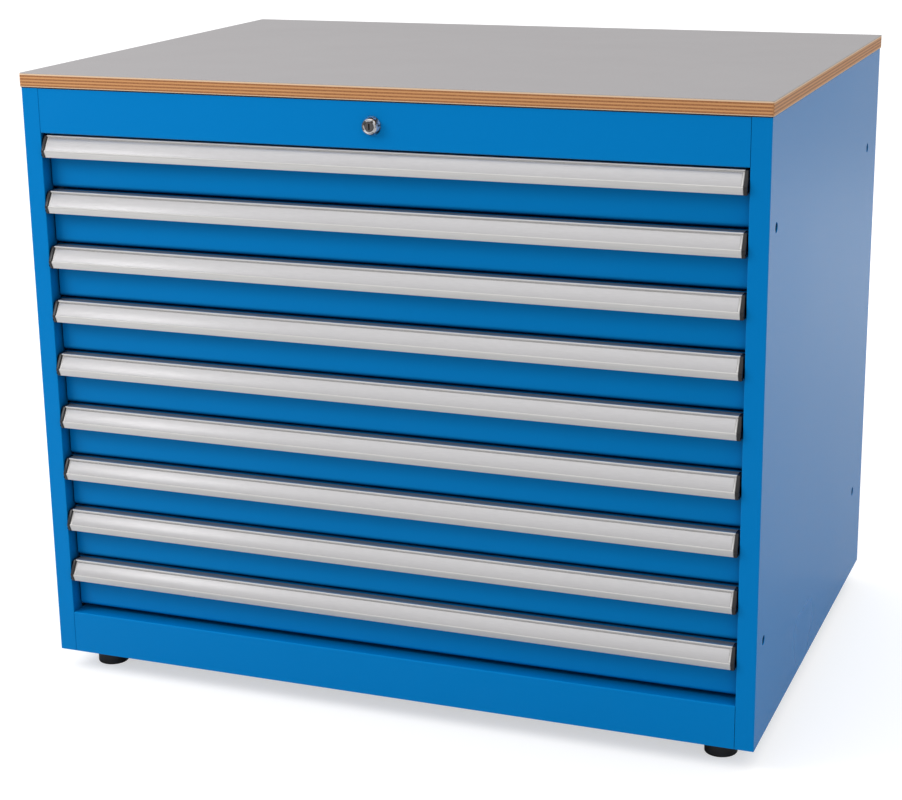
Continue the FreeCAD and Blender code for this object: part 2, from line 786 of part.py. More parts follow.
def lockBrackets():
    """Rear bearing of the lock shaft, and two guides that hold the locking bar to the back panel."""
    body = newBody("lock_brackets")
    plateTop = cabinetTop + " - sheetMetal"
    plate = rectangle("-barHalfWidth", lockAxis + " - barHalfWidth", "barHalfWidth", plateTop)
    add(body, "XZ", "bearingFront", "hookMetal", [plate])
    tongue = rectangle("-barHalfWidth", "tongueFront", "barHalfWidth", "tongueBack")
    add(body, "XY", cabinetTop + " - 2 * sheetMetal", "sheetMetal", [tongue])
    for height in ("lowGuide", "highGuide"):
        slotHalf = "(barHalfWidth + guidePlay)"
        slotFront = "barFront - guidePlay"
        slotBack = "barFront + barMetal + guidePlay"
        block = [
            ("-guideMouth", "guideFront"),
            ("-guideHalfWidth", "guideFront"),
            ("-guideHalfWidth", "guideBack"),
            ("guideHalfWidth", "guideBack"),
            ("guideHalfWidth", "guideFront"),
            ("guideMouth", "guideFront"),
            ("guideMouth", slotFront),
            (slotHalf, slotFront),
            (slotHalf, slotBack),
            ("-" + slotHalf, slotBack),
            ("-" + slotHalf, slotFront),
            ("-guideMouth", slotFront),
        ]
        add(body, "XY", height, "guideHeight", [block])
        arm = rectangle("-guideHalfWidth", "guideBack", "guideHalfWidth", "cabinetDepth - 2 * sheetMetal")
        add(body, "XY", height + " + guideHeight / 2", "hookMetal", [arm])
    bore = ("0", lockAxis, "shaftRadius + runningGap")
    cut(body, "XZ", "bearingFront - cutMargin", "hookMetal + 2 * cutMargin", circles=[bore])


# ---------------------------------------------------------------- levelling feet


def footBrackets():
    """A reinforcing plate with a welded nut over each foot."""
    body = newBody("foot_brackets", "footHeight + sheetMetal")
    plates = []
    nuts = []
    bores = []
    for _, across, depth in footCentres():
        left = "%s - footPlateHalf" % across
        right = "%s + footPlateHalf" % across
        plates.append(rectangle(left, "%s - footPlateHalf" % depth, right, "%s + footPlateHalf" % depth))
        nuts.append(hexagon(across, depth, "footNutFlat"))
        bores.append((across, depth, "studRadius + runningGap"))
    add(body, "XY", "0", "footPlateMetal", plates)
    add(body, "XY", "footPlateMetal", "footNutHeight", nuts)
    depth = "footPlateMetal + footNutHeight + 2 * cutMargin"
    cut(body, "XY", "-cutMargin", depth, circles=bores)


def levellingFoot(corner, across, depth):
    """Round pad, hexagon and stud; the hexagon meets the base when the foot is fully in."""
    body = newBody("foot_" + corner)
    hexTop = "(footHeight - seamGap)"
    add(body, "XY", "0", "padHeight", circles=[(across, depth, "padRadius")])
    add(body, "XY", "padHeight", hexTop + " - padHeight", [hexagon(across, depth, "hexFlat")])
    add(body, "XY", hexTop, "studTop - " + hexTop, circles=[(across, depth, "studRadius")])
    rim = (0, sizes["padHeight"])

    def isPadRim(box):
        wide = box.XLength > sizes["padRadius"]
        return wide and box.ZLength < 0.01 and any(near(box.ZMin, level) for level in rim)

    roundEdges(body, "padBevel", isPadRim)


# ---------------------------------------------------------------- build, check and write


def build():
    sidePanel("left_side_panel", -1)
    sidePanel("right_side_panel", 1)
    backPanel()
    topPanel()
    basePanel()
    topFascia()
    plinthRail()
    worktopBoard()
    worktopLaminate()
    worktopScrews()
    cabinetRunners()
    runnerUprights()
    lockHousing()
    lockNut()
    lockPlug()
    lockShaft()
    lockingBar()
    lockingHooks()
    lockBrackets()
    footBrackets()
    for corner, across, depth in footCentres():
        levellingFoot(corner, across, depth)
    for number in range(1, drawerCount + 1):
        drawerBody(number)
        handleProfile(number)
        handleCaps(number)
        middleRunners(number)
    doc.recompute()


def check():
    for item in doc.Objects:
        if "Invalid" in item.State or "Error" in item.State:
            raise RuntimeError("%s did not build: %s" % (item.Label, item.State))
    for node in nodes:
        if node.Shape.isNull() or not node.Shape.isValid() or not node.Shape.Solids:
            raise RuntimeError("%s has no valid shape" % node.Label)


build()
check()
os.makedirs("parts", exist_ok=True)
for node in nodes:
    node.Shape.exportStep("parts/%s.step" % node.Label)
    print("%-26s solids %2d  volume %9.0f" % (node.Label, len(node.Shape.Solids), node.Shape.Volume))
print("%d nodes" % len(nodes))
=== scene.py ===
import bmesh
import bpy
import json
import math
from mathutils import Matrix, Vector

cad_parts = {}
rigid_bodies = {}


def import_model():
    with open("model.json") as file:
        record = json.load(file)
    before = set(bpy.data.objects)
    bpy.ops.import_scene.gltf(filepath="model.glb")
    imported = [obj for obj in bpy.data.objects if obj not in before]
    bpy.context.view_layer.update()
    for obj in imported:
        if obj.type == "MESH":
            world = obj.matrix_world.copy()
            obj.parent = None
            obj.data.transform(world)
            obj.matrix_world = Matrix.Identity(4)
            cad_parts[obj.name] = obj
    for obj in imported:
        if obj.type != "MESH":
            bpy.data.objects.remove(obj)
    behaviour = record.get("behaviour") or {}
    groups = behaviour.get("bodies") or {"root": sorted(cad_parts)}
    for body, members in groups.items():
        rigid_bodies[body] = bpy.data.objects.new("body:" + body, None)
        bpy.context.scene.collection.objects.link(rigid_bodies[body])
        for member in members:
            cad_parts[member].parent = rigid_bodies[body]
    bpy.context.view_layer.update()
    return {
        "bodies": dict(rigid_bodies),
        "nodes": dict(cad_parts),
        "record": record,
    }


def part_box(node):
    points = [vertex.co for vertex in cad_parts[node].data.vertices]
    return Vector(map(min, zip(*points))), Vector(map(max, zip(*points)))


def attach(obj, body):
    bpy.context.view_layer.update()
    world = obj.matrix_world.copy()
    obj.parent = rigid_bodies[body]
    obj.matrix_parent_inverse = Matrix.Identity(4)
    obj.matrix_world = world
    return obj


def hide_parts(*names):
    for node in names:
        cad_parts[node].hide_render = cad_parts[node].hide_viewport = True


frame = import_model()
record = frame["record"]
drawerCount = sum(1 for body in frame["bodies"] if body.startswith("drawer_"))
print("frame loaded:", len(frame["nodes"]), "pieces,", drawerCount, "drawers")


# short helpers for nodes and selections
def leaveEditMode():
    if bpy.context.mode != "OBJECT":
        bpy.ops.object.mode_set(mode="OBJECT")


def deselectAll():
    leaveEditMode()
    bpy.ops.object.select_all(action="DESELECT")


def newMaterial(name):
    material = bpy.data.materials.new(name)
    material.use_nodes = True
    tree = material.node_tree
    return material, tree, tree.nodes["Principled BSDF"]


def feed(tree, value, socket):
    # a node's output is linked, anything else is a plain value
    if hasattr(value, "is_linked"):
        tree.links.new(value, socket)
    else:
        socket.default_value = value


def feedInputs(tree, node, inputs):
    # inputs are named like the sockets, with spaces left out
    for socket in node.inputs:
        plain = socket.name.replace(" ", "")
        if plain in inputs:
            feed(tree, inputs[plain], socket)
    return node


def addNode(tree, kind, **inputs):
    return feedInputs(tree, tree.nodes.new(kind), inputs)


def useGroup(tree, group, **inputs):
    node = tree.nodes.new("ShaderNodeGroup")
    node.node_tree = group
    return feedInputs(tree, node, inputs)


def startGroup(name, inputs, outputs):
    group = bpy.data.node_groups.new(name, "ShaderNodeTree")
    for label, kind, value in inputs:
        socket = group.interface.new_socket(label, in_out="INPUT", socket_type=kind)
        socket.default_value = value
    for label, kind in outputs:
        group.interface.new_socket(label, in_out="OUTPUT", socket_type=kind)
    return group, group.nodes.new("NodeGroupInput"), group.nodes.new("NodeGroupOutput")


def mathNode(tree, operation, *values):
    node = tree.nodes.new("ShaderNodeMath")
    node.operation = operation
    for slot, value in enumerate(values):
        feed(tree, value, node.inputs[slot])
    return node.outputs[0]


def mixColours(tree, factor, first, second):
    node = tree.nodes.new("ShaderNodeMix")
    node.data_type = "RGBA"
    # a mix node's colour sockets are the seventh and the eighth
    for slot, value in ((0, factor), (6, first), (7, second)):
        feed(tree, value, node.inputs[slot])
    return node.outputs[2]


def rangeNode(tree, value, low, high, toLow, toHigh):
    node = tree.nodes.new("ShaderNodeMapRange")
    tree.links.new(value, node.inputs["Value"])
    for label, number in (("From Min", low), ("From Max", high), ("To Min", toLow), ("To Max", toHigh)):
        node.inputs[label].default_value = number
    return node.outputs["Result"]


def noiseRange(tree, noise, toLow, toHigh, low=0.3, high=0.7):
    # most of a noise lies between 0.3 and 0.7
    return rangeNode(tree, noise, low, high, toLow, toHigh)


def objectPoint(tree, scale=(1, 1, 1), location=(0, 0, 0)):
    coordinates = tree.nodes.new("ShaderNodeTexCoord")
    mapping = addNode(tree, "ShaderNodeMapping", Scale=scale, Location=location)
    tree.links.new(coordinates.outputs["Object"], mapping.inputs["Vector"])
    return mapping.outputs["Vector"]


def noiseNode(tree, point, scale, detail=2.0, roughness=0.5):
    return addNode(tree, "ShaderNodeTexNoise", Vector=point, Scale=scale, Detail=detail,
                   Roughness=roughness).outputs["Fac"]


def splitPoint(tree, vector):
    return addNode(tree, "ShaderNodeSeparateXYZ", Vector=vector).outputs


def opennessNode(tree, reach):
    # near 1 on open faces, near 0 deep in a gap
    node = tree.nodes.new("ShaderNodeAmbientOcclusion")
    node.samples = 8
    node.inputs["Distance"].default_value = reach
    return node.outputs["AO"]


def dustMask(tree, values):
    dust = useGroup(tree, handlingDust, PatchScale=values["dustPatch"], Spread=values["dustSpread"])
    return mathNode(tree, "MULTIPLY", dust.outputs["Mask"], values["dustAmount"])


def dress(tree, shader, colour, roughness, height, bump):
    # bump is its strength and its depth in metres
    strength, depth = bump
    normal = addNode(tree, "ShaderNodeBump", Height=height, Strength=strength, Distance=depth)
    tree.links.new(colour, shader.inputs["Base Color"])
    tree.links.new(roughness, shader.inputs["Roughness"])
    tree.links.new(normal.outputs["Normal"], shader.inputs["Normal"])


# surface effects that several materials share
def buildCoatSkin():
    # powder coat: faint clouds in the tone and the gloss, and a fine peel
    group, inside, outside = startGroup(
        "powderCoatSkin",
        (("Colour", "NodeSocketColor", (0, 0.2, 0.5, 1)), ("Clouds", "NodeSocketFloat", 0.05),
         ("Cloud Scale", "NodeSocketFloat", 3.0), ("Peel Scale", "NodeSocketFloat", 900.0)),
        (("Colour", "NodeSocketColor"), ("Gloss Shift", "NodeSocketFloat"), ("Height", "NodeSocketFloat")))
    point = objectPoint(group)
    clouds = noiseNode(group, point, inside.outputs["Cloud Scale"])
    swing = mathNode(group, "MULTIPLY", mathNode(group, "SUBTRACT", clouds, 0.5), inside.outputs["Clouds"])
    brightness = group.nodes.new("ShaderNodeVectorMath")
    brightness.operation = "SCALE"
    group.links.new(inside.outputs["Colour"], brightness.inputs[0])
    group.links.new(mathNode(group, "ADD", swing, 1.0), brightness.inputs["Scale"])
    group.links.new(brightness.outputs[0], outside.inputs["Colour"])
    group.links.new(swing, outside.inputs["Gloss Shift"])
    peel = noiseNode(group, point, inside.outputs["Peel Scale"])
    group.links.new(peel, outside.inputs["Height"])
    return group


def buildGrain():
    # fine parallel lines, as on extruded or rolled metal
    group, inside, outside = startGroup(
        "metalGrain",
        (("Along", "NodeSocketVector", (1, 60, 60)), ("Line Scale", "NodeSocketFloat", 60.0)),
        (("Lines", "NodeSocketFloat"),))
    coordinates = group.nodes.new("ShaderNodeTexCoord")
    stretch = group.nodes.new("ShaderNodeVectorMath")
    stretch.operation = "MULTIPLY"
    group.links.new(coordinates.outputs["Object"], stretch.inputs[0])
    group.links.new(inside.outputs["Along"], stretch.inputs[1])
    fine = noiseNode(group, stretch.outputs[0], inside.outputs["Line Scale"], 3.0, 0.6)
    group.links.new(fine, outside.inputs["Lines"])
    return group


dustShape = {"sideShare": 0.35, "contrast": 2.2, "speckScale": 420.0, "speckLow": 0.5, "speckHigh": 1.2}


def buildDust():
    # smudges and a little dust, more of it on faces that look up
    group, inside, outside = startGroup(
        "handlingDust", (("Patch Scale", "NodeSocketFloat", 9.0), ("Spread", "NodeSocketFloat", 0.5)),
        (("Mask", "NodeSocketFloat"),))
    point = objectPoint(group)
    patches = noiseNode(group, point, inside.outputs["Patch Scale"], 4.0, 0.62)
    specks = noiseNode(group, point, dustShape["speckScale"])
    geometry = group.nodes.new("ShaderNodeNewGeometry")
    upward = rangeNode(group, splitPoint(group, geometry.outputs["Normal"])["Z"], 0.0, 1.0,
                       dustShape["sideShare"], 1.0)
    edge = mathNode(group, "SUBTRACT", patches, inside.outputs["Spread"])
    soft = mathNode(group, "MULTIPLY", mathNode(group, "MAXIMUM", edge, 0.0), dustShape["contrast"])
    speckle = noiseRange(group, specks, dustShape["speckLow"], dustShape["speckHigh"], low=0.35)
    speckled = mathNode(group, "MULTIPLY", soft, speckle)
    group.links.new(mathNode(group, "MULTIPLY", speckled, upward), outside.inputs["Mask"])
    return group


coatSkin = buildCoatSkin()
metalGrain = buildGrain()
handlingDust = buildDust()


# one function for each material, with its values above it
paint = {
    "colour": (0.0003, 0.2, 0.56, 1), "sheen": (0.1, 0.62, 1.0, 1), "roughness": 0.26, "ior": 1.4,
    "clouds": 0.06, "cloudScale": 3.0, "peelScale": 750.0, "peelBump": (0.08, 0.0004),
    "dust": (0.34, 0.42, 0.5, 1), "dustPatch": 7.0, "dustSpread": 0.56, "dustAmount": 0.02,
    "recess": (0.0001, 0.012, 0.04, 1), "creviceReach": 0.016, "gapClosed": 0.06, "gapOpen": 0.34,
    "faceOpen": 0.9, "shade": 0.3,
}


def bluePaint():
    material, tree, shader = newMaterial("bluePowderCoat")
    skin = useGroup(tree, coatSkin, Colour=paint["colour"], Clouds=paint["clouds"],
                    CloudScale=paint["cloudScale"], PeelScale=paint["peelScale"]).outputs
    dusty = mixColours(tree, dustMask(tree, paint), skin["Colour"], paint["dust"])
    # painted shade: ambient occlusion darkens gaps and deep corners nearly to black, and faces that are partly
    # closed in, such as under the handles, a little
    openness = opennessNode(tree, paint["creviceReach"])
    closed = rangeNode(tree, openness, paint["gapClosed"], paint["gapOpen"], 1.0, 0.0)
    shaded = rangeNode(tree, openness, paint["gapOpen"], paint["faceOpen"], paint["shade"], 0.0)
    colour = mixColours(tree, mathNode(tree, "MAXIMUM", closed, shaded), dusty, paint["recess"])
    roughness = mathNode(tree, "ADD", skin["Gloss Shift"], paint["roughness"])
    dress(tree, shader, colour, roughness, skin["Height"], paint["peelBump"])
    shader.inputs["Specular Tint"].default_value = paint["sheen"]
    shader.inputs["IOR"].default_value = paint["ior"]
    return material


plywood = {
    "long": (0.68, 0.34, 0.135, 1), "longDark": (0.58, 0.27, 0.1, 1), "streakScale": (7, 7, 900),
    "end": (0.44, 0.18, 0.06, 1), "endDark": (0.3, 0.11, 0.036, 1), "poreScale": (700, 700, 500),
    "outer": (0.78, 0.55, 0.36, 1), "outerPly": 0.0017, "fade": 0.0003,
    "glue": (0.26, 0.1, 0.035, 1), "glueStart": 0.42, "glueShare": 0.35,
    "plies": 9, "waver": 0.0004, "waverScale": (6, 6, 40), "shadow": (0.008, 0.006, 0.005, 1),
    "roughness": (0.42, 0.58), "bump": (0.25, 0.0003),
}


def plywoodEdge():
    material, tree, shader = newMaterial("plywoodPlies")
    low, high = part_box("worktop_board")
    thickness = high.z - low.z
    place = splitPoint(tree, objectPoint(tree))
    # the plies waver a little about their places
    waver = noiseNode(tree, objectPoint(tree, plywood["waverScale"]), 3.0)
    offset = mathNode(tree, "MULTIPLY_ADD", waver, plywood["waver"], -low.z - plywood["waver"] / 2)
    layer = mathNode(tree, "DIVIDE", mathNode(tree, "ADD", place["Z"], offset), thickness / plywood["plies"])
    # every other ply shows its end grain, and the other ones on the board's short sides
    turned = mathNode(tree, "PINGPONG", mathNode(tree, "FLOOR", layer), 1.0)
    geometry = tree.nodes.new("ShaderNodeNewGeometry")
    facing = splitPoint(tree, geometry.outputs["True Normal"])
    onSide = mathNode(tree, "GREATER_THAN", mathNode(tree, "ABSOLUTE", facing["X"]), 0.7)
    isEnd = mathNode(tree, "ABSOLUTE", mathNode(tree, "SUBTRACT", turned, onSide))
    # long streaks where the grain runs along the edge, pores where it ends there
    streaks = noiseNode(tree, objectPoint(tree, plywood["streakScale"]), 1.6, 4.0, 0.6)
    pores = noiseNode(tree, objectPoint(tree, plywood["poreScale"]), 1.0, 3.0, 0.7)
    longGrain = mixColours(tree, noiseRange(tree, streaks, 0.0, 1.0), plywood["long"], plywood["longDark"])
    endGrain = mixColours(tree, noiseRange(tree, pores, 0.0, 1.0, 0.35, 0.65), plywood["end"],
                          plywood["endDark"])
    wood = mixColours(tree, isEnd, longGrain, endGrain)
    fromPlyMiddle = mathNode(tree, "ABSOLUTE", mathNode(tree, "SUBTRACT", mathNode(tree, "FRACT", layer), 0.5))
    glueLine = rangeNode(tree, fromPlyMiddle, plywood["glueStart"], 0.5, 0.0, plywood["glueShare"])
    glued = mixColours(tree, glueLine, wood, plywood["glue"])
    # pale outer veneers, and the relief under the board lies in shadow
    fromMiddle = mathNode(tree, "ABSOLUTE", mathNode(tree, "SUBTRACT", place["Z"], low.z + thickness / 2))
    veneerStart = thickness / 2 - plywood["outerPly"]
    veneer = rangeNode(tree, fromMiddle, veneerStart - plywood["fade"], veneerStart, 0.0, 1.0)
    pale = mixColours(tree, veneer, glued, plywood["outer"])
    under = mathNode(tree, "LESS_THAN", facing["Z"], -0.3)
    colour = mixColours(tree, under, pale, plywood["shadow"])
    dress(tree, shader, colour, noiseRange(tree, pores, *plywood["roughness"]), pores, plywood["bump"])
    return material


laminate = {
    "colour": (0.36, 0.342, 0.35, 1), "fleck": (0.29, 0.28, 0.285, 1), "fleckScale": 1400.0,
    "fleckShare": 0.6, "dust": (0.5, 0.49, 0.48, 1), "dustPatch": 5.0, "dustSpread": 0.5,
    "dustAmount": 0.06, "cloudScale": 6.0, "roughness": (0.39, 0.47), "bump": (0.12, 0.0002),
}


def greyLaminate():
    material, tree, shader = newMaterial("greyLaminate")
    fine = noiseNode(tree, objectPoint(tree), laminate["fleckScale"], 2.0, 0.6)
    broad = noiseNode(tree, objectPoint(tree), laminate["cloudScale"], 3.0)
    flecks = noiseRange(tree, fine, 0.0, laminate["fleckShare"], 0.4, 0.6)
    base = mixColours(tree, flecks, laminate["colour"], laminate["fleck"])
    colour = mixColours(tree, dustMask(tree, laminate), base, laminate["dust"])
    dress(tree, shader, colour, noiseRange(tree, broad, *laminate["roughness"]), fine, laminate["bump"])
    return material


aluminium = {
    "colour": (0.85, 0.835, 0.82, 1), "line": (0.75, 0.735, 0.725, 1), "roughness": (0.33, 0.44),
    "grainAlong": (0.6, 60, 60), "grainScale": 40.0, "bump": (0.06, 0.0002),
    "ledge": (0.2, 0.21, 0.23, 1), "ledgeMetal": 0.35, "lipBack": 0.0132, "lipFade": 0.0008,
    "groove": (0.02, 0.02, 0.023, 1), "grooveReach": 0.0018, "grooveDeep": 0.5, "grooveOpen": 0.93,
}


def satinAluminium():
    material, tree, shader = newMaterial("satinAluminium")
    grain = useGroup(tree, metalGrain, Along=aluminium["grainAlong"],
                     LineScale=aluminium["grainScale"]).outputs["Lines"]
    brushed = mixColours(tree, noiseRange(tree, grain, 0.0, 1.0), aluminium["colour"], aluminium["line"])
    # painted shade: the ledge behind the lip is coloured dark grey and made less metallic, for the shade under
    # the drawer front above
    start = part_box("drawer_1_handle")[0].y + aluminium["lipBack"]
    depth = splitPoint(tree, objectPoint(tree))["Y"]
    ledgeShade = rangeNode(tree, depth, start, start + aluminium["lipFade"], 0.0, 1.0)
    skin = mixColours(tree, ledgeShade, brushed, aluminium["ledge"])
    # painted shade: the fine groove under the lip is darkened where ambient occlusion finds it closed in
    openness = opennessNode(tree, aluminium["grooveReach"])
    deep = rangeNode(tree, openness, aluminium["grooveDeep"], aluminium["grooveOpen"], 1.0, 0.0)
    colour = mixColours(tree, deep, skin, aluminium["groove"])
    dress(tree, shader, colour, noiseRange(tree, grain, *aluminium["roughness"]), grain, aluminium["bump"])
    metal = rangeNode(tree, ledgeShade, 0.0, 1.0, 1.0, aluminium["ledgeMetal"])
    tree.links.new(metal, shader.inputs["Metallic"])
    return material


stripPaper = {
    "colour": (0.62, 0.61, 0.62, 1), "fibre": (0.58, 0.57, 0.58, 1), "fibreScale": (40, 500, 500),
    "roughness": (0.3, 0.36), "bump": (0.04, 0.0002), "metallic": 0.6,
}


def labelStrip():
    # paper strip behind a satin clear cover
    material, tree, shader = newMaterial("satinLabelStrip")
    fibre = noiseNode(tree, objectPoint(tree, stripPaper["fibreScale"]), 2.0, 3.0, 0.6)
    colour = mixColours(tree, noiseRange(tree, fibre, 0.0, 1.0), stripPaper["colour"], stripPaper["fibre"])
    dress(tree, shader, colour, noiseRange(tree, fibre, *stripPaper["roughness"]), fibre, stripPaper["bump"])
    shader.inputs["Metallic"].default_value = stripPaper["metallic"]
    return material


capPlastic = {
    "name": "glossBlackPlastic", "colour": (0.012, 0.012, 0.014, 1), "fineScale": 1800.0, "detail": 2.0,
    "dust": (0.1, 0.1, 0.11, 1), "dustPatch": 60.0, "dustSpread": 0.5, "dustAmount": 0.08,
    "roughness": (0.1, 0.18), "bump": (0.05, 0.0001),
}
footPlastic = {
    "name": "mattBlackFoot", "colour": (0.012, 0.012, 0.013, 1), "fineScale": 900.0, "detail": 3.0,
    "dust": (0.16, 0.15, 0.14, 1), "dustPatch": 30.0, "dustSpread": 0.42, "dustAmount": 0.2,
    "roughness": (0.4, 0.6), "bump": (0.2, 0.0003),
}


def blackPlastic(values):
    material, tree, shader = newMaterial(values["name"])
    fine = noiseNode(tree, objectPoint(tree), values["fineScale"], values["detail"])
    colour = mixColours(tree, dustMask(tree, values), values["colour"], values["dust"])
    dress(tree, shader, colour, noiseRange(tree, fine, *values["roughness"]), fine, values["bump"])
    return material


zinc = {
    "cool": (0.60, 0.62, 0.66, 1), "warm": (0.66, 0.64, 0.58, 1), "line": (0.45, 0.46, 0.48, 1),
    "lineShare": 0.4, "grainAlong": (40, 1, 40), "grainScale": 30.0, "patchScale": 22.0,
    "roughness": (0.26, 0.42), "bump": (0.1, 0.0002),
}


def zincPlate():
    material, tree, shader = newMaterial("brightZincPlate")
    grain = useGroup(tree, metalGrain, Along=zinc["grainAlong"], LineScale=zinc["grainScale"]).outputs["Lines"]
    patches = noiseNode(tree, objectPoint(tree), zinc["patchScale"], 3.0, 0.6)
    tint = mixColours(tree, noiseRange(tree, patches, 0.0, 1.0, 0.35, 0.65), zinc["cool"], zinc["warm"])
    colour = mixColours(tree, noiseRange(tree, grain, 0.0, zinc["lineShare"]), tint, zinc["line"])
    dress(tree, shader, colour, noiseRange(tree, patches, *zinc["roughness"]), grain, zinc["bump"])
    shader.inputs["Metallic"].default_value = 1.0
    return material


chrome = {
    "bright": (0.80, 0.80, 0.82, 1), "worn": (0.70, 0.70, 0.73, 1), "dark": (0.14, 0.13, 0.12, 1),
    "markScale": (300, 300, 300), "cloudScale": 190.0, "roughness": (0.06, 0.17), "bump": (0.04, 0.0001),
}


def polishedChrome():
    material, tree, shader = newMaterial("polishedChrome")
    marks = noiseNode(tree, objectPoint(tree, chrome["markScale"]), 2.0, 4.0, 0.7)
    mirroredDarkPatches = noiseNode(tree, objectPoint(tree), chrome["cloudScale"])
    worn = mixColours(tree, marks, chrome["bright"], chrome["worn"])
    # painted reflection: blotchy dark patches stand in for dark surroundings mirrored in the chrome
    colour = mixColours(tree, noiseRange(tree, mirroredDarkPatches, 0.0, 1.0, 0.44, 0.56), worn, chrome["dark"])
    roughness = noiseRange(tree, marks, *chrome["roughness"], low=0.35)
    dress(tree, shader, colour, roughness, marks, chrome["bump"])
    shader.inputs["Metallic"].default_value = 1.0
    return material


plugSteel = {
    "dark": (0.1, 0.095, 0.1, 1), "light": (0.22, 0.21, 0.21, 1), "ringScale": 4200.0,
    "roughness": (0.2, 0.36), "bump": (0.3, 0.0001),
}


def turnedSteel():
    # rings round the lock's axis from the facing cut
    material, tree, shader = newMaterial("turnedLockSteel")
    low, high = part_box("lock_plug")
    centre = (low + high) / 2
    place = splitPoint(tree, objectPoint(tree, location=(-centre.x, 0, -centre.z)))
    squares = mathNode(tree, "ADD", mathNode(tree, "POWER", place["X"], 2.0),
                       mathNode(tree, "POWER", place["Z"], 2.0))
    ring = tree.nodes.new("ShaderNodeTexNoise")
    ring.noise_dimensions = "1D"
    tree.links.new(mathNode(tree, "SQRT", squares), ring.inputs["W"])
    ring.inputs["Scale"].default_value = plugSteel["ringScale"]
    rings = ring.outputs["Fac"]
    colour = mixColours(tree, rings, plugSteel["dark"], plugSteel["light"])
    dress(tree, shader, colour, noiseRange(tree, rings, *plugSteel["roughness"]), rings, plugSteel["bump"])
    shader.inputs["Metallic"].default_value = 1.0
    return material


finishes = {
    "blue_paint": bluePaint(), "plywood": plywoodEdge(), "laminate": greyLaminate(),
    "handle_aluminium": satinAluminium(), "black_plastic": blackPlastic(capPlastic),
    "foot_black": blackPlastic(footPlastic), "zinc_steel": zincPlate(), "lock_chrome": polishedChrome(),
    "lock_steel": turnedSteel(),
}
labelStripFinish = labelStrip()
for subpart in record["subparts"]:
    mesh = frame["nodes"][subpart["node"]].data
    mesh.materials.clear()
    mesh.materials.append(finishes[subpart["material_slot"]])
print("materials made:", len(finishes) + 1)


# helpers for modelling in edit mode
def startPoint(name, place):
    # one vertex in edit mode, from which a section is drawn by extruding
    deselectAll()
    bpy.ops.mesh.primitive_plane_add(size=0.01, location=place)
    piece = bpy.context.object
    piece.name = name
    bpy.ops.object.transform_apply(location=True, rotation=True, scale=True)
    bpy.ops.object.mode_set(mode="EDIT")
    bpy.ops.mesh.select_mode(type="VERT")
    bpy.ops.mesh.select_all(action="SELECT")
    bpy.ops.mesh.merge(type="CENTER")
    return piece


def drawLine(name, points):
    # points are places in the row's frame
    piece = startPoint(name, points[0])
    for last, point in zip(points, points[1:]):
        step = Vector(point) - Vector(last)
        bpy.ops.mesh.extrude_region_move(TRANSFORM_OT_translate={"value": step})
    bpy.ops.mesh.select_all(action="SELECT")
    return piece


def drawSection(name, points):
    # the face joins the last point to the first
    piece = drawLine(name, points)
    bpy.ops.mesh.edge_face_add()
    return piece


def pickVertices(piece, wanted):
    data = bmesh.from_edit_mesh(piece.data)
    bpy.ops.mesh.select_mode(type="VERT")
    for vertex in data.verts:
        vertex.select = wanted(vertex.co)
    data.select_flush(True)
    bmesh.update_edit_mesh(piece.data)


def pickEdges(piece, wanted):
    # an edge is picked when both its ends are wanted
    data = bmesh.from_edit_mesh(piece.data)
    bpy.ops.mesh.select_mode(type="EDGE")
    bpy.ops.mesh.select_all(action="DESELECT")
    for edge in data.edges:
        edge.select = all(wanted(vertex.co) for vertex in edge.verts)
    bmesh.update_edit_mesh(piece.data)


def pickFaces(piece, wanted):
    data = bmesh.from_edit_mesh(piece.data)
    bpy.ops.mesh.select_mode(type="FACE")
    bpy.ops.mesh.select_all(action="DESELECT")
    data.normal_update()
    for face in data.faces:
        face.select = wanted(face.calc_center_median(), face.normal)
    bmesh.update_edit_mesh(piece.data)


def extrudeAll(vector):
    bpy.ops.mesh.select_all(action="SELECT")
    bpy.ops.mesh.extrude_region_move(TRANSFORM_OT_translate={"value": vector})
    bpy.ops.mesh.select_all(action="SELECT")
    bpy.ops.mesh.normals_make_consistent(inside=False)


def near(first, second, reach=1e-5):
    return abs(first - second) < reach


def roundCorner(piece, y, z, radius):
    pickVertices(piece, lambda co: near(co.y, y) and near(co.z, z))
    bpy.ops.mesh.bevel(offset=radius, offset_type="OFFSET", segments=4, affect="VERTICES")


def smoothByAngle(piece, degrees):
    deselectAll()
    piece.select_set(True)
    bpy.context.view_layer.objects.active = piece
    bpy.ops.object.shade_smooth_by_angle(angle=math.radians(degrees))


def placePiece(piece, slotName, bodyName, material=None):
    # the slot's own material, unless another one is named
    piece.data.materials.clear()
    piece.data.materials.append(material or finishes[slotName])
    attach(piece, bodyName)


def copyPiece(piece, name, change):
    copied = piece.copy()
    copied.data = piece.data.copy()
    copied.name = name
    bpy.context.scene.collection.objects.link(copied)
    copied.data.transform(change)
    return copied


# drawer handles: an extruded profile with a label strip in its channel
# walls named in pairs are depth and height, in wall thicknesses
handle = {
    "wall": 0.0016, "lipFront": 0.0102, "lipDepth": 0.0099, "lipDrop": 0.0024, "lipRadius": 0.0011,
    "lipUnderRadius": 0.0005, "lipRoot": 0.0107, "lipRootDrop": 0.0026, "faceDepth": 0.0103,
    "faceDrop": 0.0034, "grooveDepth": 0.0005, "lowerLip": 0.0016, "noseDrop": 0.0205,
    "noseRadius": 0.0009, "chinDepth": 0.0035, "chinRadius": 0.0006, "noseWall": (1.12, -0.1),
    "chinWall": (0.93, 0.36), "lipWall": 1.2, "innerDrop": 0.0039, "clipDrop": 0.0215,
    "smoothAngle": 40,
}
strip = {"thickness": 0.00042, "bed": 0.00004, "endGap": 0.003, "topGap": 0.0008, "lowerGap": 0.0001,
         "bevel": 0.00012}


